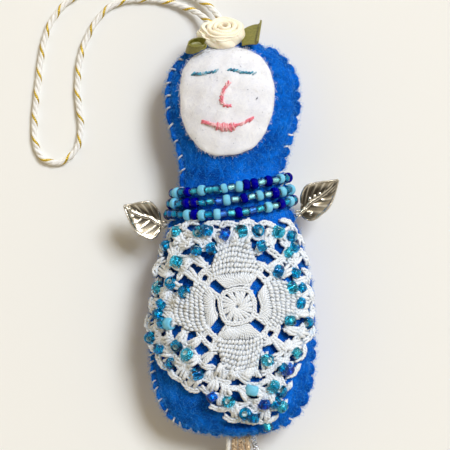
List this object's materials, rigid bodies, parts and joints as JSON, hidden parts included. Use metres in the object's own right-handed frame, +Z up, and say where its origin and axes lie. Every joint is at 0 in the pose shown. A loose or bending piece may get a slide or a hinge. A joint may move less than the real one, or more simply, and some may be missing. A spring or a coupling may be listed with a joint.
{
  "type": "spirit doll",
  "caption": "Stuffed felt doll with a stitched face, ribbon rose, bead strands, beaded doily, leaf charms, hanging cord and tassel.",
  "frame": {"origin": "on the table under the middle of the belly, at the flat of the back", "axes": "+Z up out of the doll's front, +Y towards the head, +X to the right as seen from the front"},
  "size_m": [0.105, 0.1789, 0.0275],
  "materials": {
    "blue_felt": "matt wool felt",
    "white_felt": "matt wool felt",
    "fibre": "loose fibre filling",
    "eye_thread": "cotton thread",
    "pink_thread": "cotton thread",
    "cream_satin": "satin ribbon",
    "olive_satin": "satin ribbon",
    "white_cord": "twisted cord",
    "glass_bead": "polished",
    "cast_silver": "cast, worn bright",
    "crochet_cotton": "crocheted yarn",
    "gold_tinsel": "crinkled tinsel",
    "silver_tinsel": "twisted tinsel"
  },
  "bodies": {
    "doll": {"front_panel": "blue_felt", "back_panel": "blue_felt", "stuffing": "fibre", "face_oval": "white_felt", "left_eye_stitch": "eye_thread", "right_eye_stitch": "eye_thread", "nose_stitch": "pink_thread", "mouth_stitch": "pink_thread", "ribbon_rose": "cream_satin", "rose_leaf_left": "olive_satin", "rose_leaf_right": "olive_satin", "hanging_cord": "white_cord", "doily": "crochet_cotton", "necklace_upper": "glass_bead", "necklace_middle": "glass_bead", "necklace_lower": "glass_bead", "doily_bead_01": "glass_bead", "doily_bead_02": "glass_bead", "doily_bead_03": "glass_bead", "doily_bead_04": "glass_bead", "doily_bead_05": "glass_bead", "doily_bead_06": "glass_bead", "doily_bead_07": "glass_bead", "doily_bead_08": "glass_bead", "doily_bead_09": "glass_bead", "doily_bead_10": "glass_bead", "doily_bead_11": "glass_bead", "doily_bead_12": "glass_bead", "doily_bead_13": "glass_bead", "doily_bead_14": "glass_bead", "doily_bead_15": "glass_bead", "doily_bead_16": "glass_bead", "doily_bead_17": "glass_bead", "doily_bead_18": "glass_bead", "doily_bead_19": "glass_bead", "doily_bead_20": "glass_bead", "doily_bead_21": "glass_bead", "doily_bead_22": "glass_bead", "doily_bead_23": "glass_bead", "doily_bead_24": "glass_bead", "doily_bead_25": "glass_bead", "doily_bead_26": "glass_bead", "doily_bead_27": "glass_bead", "doily_bead_28": "glass_bead", "doily_bead_29": "glass_bead", "doily_bead_30": "glass_bead", "doily_bead_31": "glass_bead", "doily_bead_32": "glass_bead"},
    "left_charm": {"left_leaf_charm": "cast_silver", "left_charm_thread": "white_cord"},
    "right_charm": {"right_leaf_charm": "cast_silver", "right_charm_thread": "white_cord"},
    "tassel": {"tassel_white_strand": "white_cord", "tassel_gold_strand_left": "gold_tinsel", "tassel_gold_strand_middle": "gold_tinsel", "tassel_gold_strand_right": "gold_tinsel", "tassel_silver_strand": "silver_tinsel"}
  },
  "joints": [
    {"name": "left_charm_flap", "type": "hinge", "parent": "doll", "child": "left_charm", "pos_m": [-0.02098, 0.0252, 0.0125], "axis": [0, 1, 0], "range_deg": [-25, 25]},
    {"name": "right_charm_flap", "type": "hinge", "parent": "doll", "child": "right_charm", "pos_m": [0.01993, 0.0288, 0.0125], "axis": [0, -1, 0], "range_deg": [-25, 25]},
    {"name": "tassel_flap", "type": "hinge", "parent": "doll", "child": "tassel", "pos_m": [0, -0.04594, 0.0125], "axis": [-1, 0, 0], "range_deg": [-30, 85]}
  ]
}
